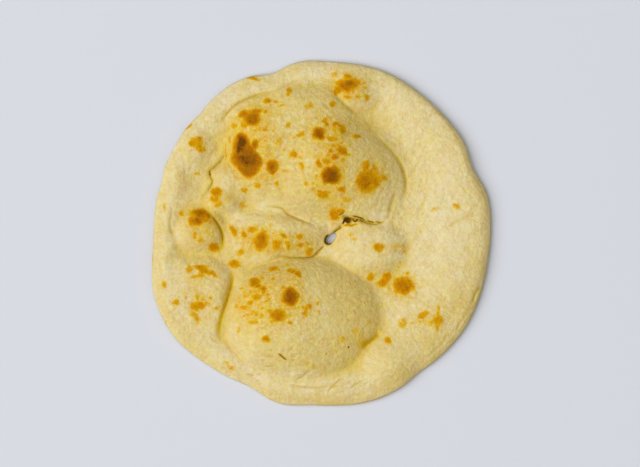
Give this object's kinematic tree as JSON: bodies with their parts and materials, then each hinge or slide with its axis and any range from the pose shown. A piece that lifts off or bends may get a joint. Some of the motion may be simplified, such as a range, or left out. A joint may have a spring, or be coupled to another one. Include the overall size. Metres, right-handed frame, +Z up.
{
  "type": "naan",
  "caption": "Round leavened flatbread, blown into two big domes and smaller bubbles, with a padded rim and toasted spots, lying flat.",
  "frame": {"origin": "Centre of the bounding box of the bread, on the flat underside that it lies on.", "axes": "+Z up out of the domed top; +X across the bread, from the side of the small round bubbles to the broad smooth rim; +Y from the lower big dome to the upper one."},
  "size_m": [0.2257, 0.2297, 0.0239],
  "materials": {
    "baked_dough": "matte baked dough, floury, toasted in spots"
  },
  "bodies": {
    "root": {"naan": "baked_dough"}
  },
  "joints": []
}
